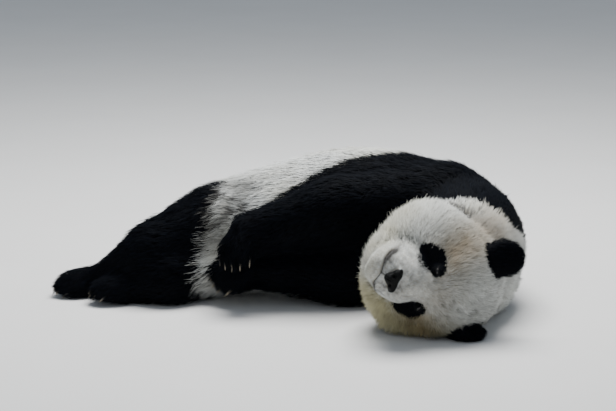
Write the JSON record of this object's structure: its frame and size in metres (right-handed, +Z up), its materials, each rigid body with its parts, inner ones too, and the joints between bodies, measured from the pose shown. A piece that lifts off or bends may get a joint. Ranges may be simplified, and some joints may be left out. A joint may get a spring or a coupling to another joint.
{
  "type": "giant panda",
  "caption": "Still life-size giant panda asleep on its left side, cheek on the floor, legs stretched out towards the viewer and one forepaw drooping over the belly",
  "frame": {"origin": "the middle of the bounding box, on the floor that the animal lies on", "axes": "+X from rump to shoulders, +Y from belly to back, +Z up"},
  "size_m": [1.2444, 0.8416, 0.3782],
  "materials": {
    "white_fur": "dense cream-white bear fur",
    "black_fur": "dense black bear fur",
    "nose_skin": "damp pebbled black skin",
    "eye": "wet dark brown",
    "claw_horn": "pale worn horn"
  },
  "bodies": {
    "root": {"trunk": "white_fur", "chest": "black_fur", "tail": "white_fur", "neck": "white_fur", "head": "white_fur", "lower_jaw": "white_fur", "nose": "nose_skin", "eye_right": "eye", "eye_left": "eye", "ear_right": "black_fur", "ear_left": "black_fur", "upper_arm_right": "black_fur", "forearm_right": "black_fur", "forepaw_right": "black_fur", "claw_forepaw_right_1": "claw_horn", "claw_forepaw_right_2": "claw_horn", "claw_forepaw_right_3": "claw_horn", "claw_forepaw_right_4": "claw_horn", "claw_forepaw_right_5": "claw_horn", "thigh_right": "black_fur", "shank_right": "black_fur", "hindfoot_right": "black_fur", "claw_hindfoot_right_1": "claw_horn", "claw_hindfoot_right_2": "claw_horn", "claw_hindfoot_right_3": "claw_horn", "claw_hindfoot_right_4": "claw_horn", "claw_hindfoot_right_5": "claw_horn", "upper_arm_left": "black_fur", "forearm_left": "black_fur", "forepaw_left": "black_fur", "claw_forepaw_left_1": "claw_horn", "claw_forepaw_left_2": "claw_horn", "claw_forepaw_left_3": "claw_horn", "claw_forepaw_left_4": "claw_horn", "claw_forepaw_left_5": "claw_horn", "thigh_left": "black_fur", "shank_left": "black_fur", "hindfoot_left": "black_fur", "claw_hindfoot_left_1": "claw_horn", "claw_hindfoot_left_2": "claw_horn", "claw_hindfoot_left_3": "claw_horn", "claw_hindfoot_left_4": "claw_horn", "claw_hindfoot_left_5": "claw_horn"}
  },
  "joints": []
}
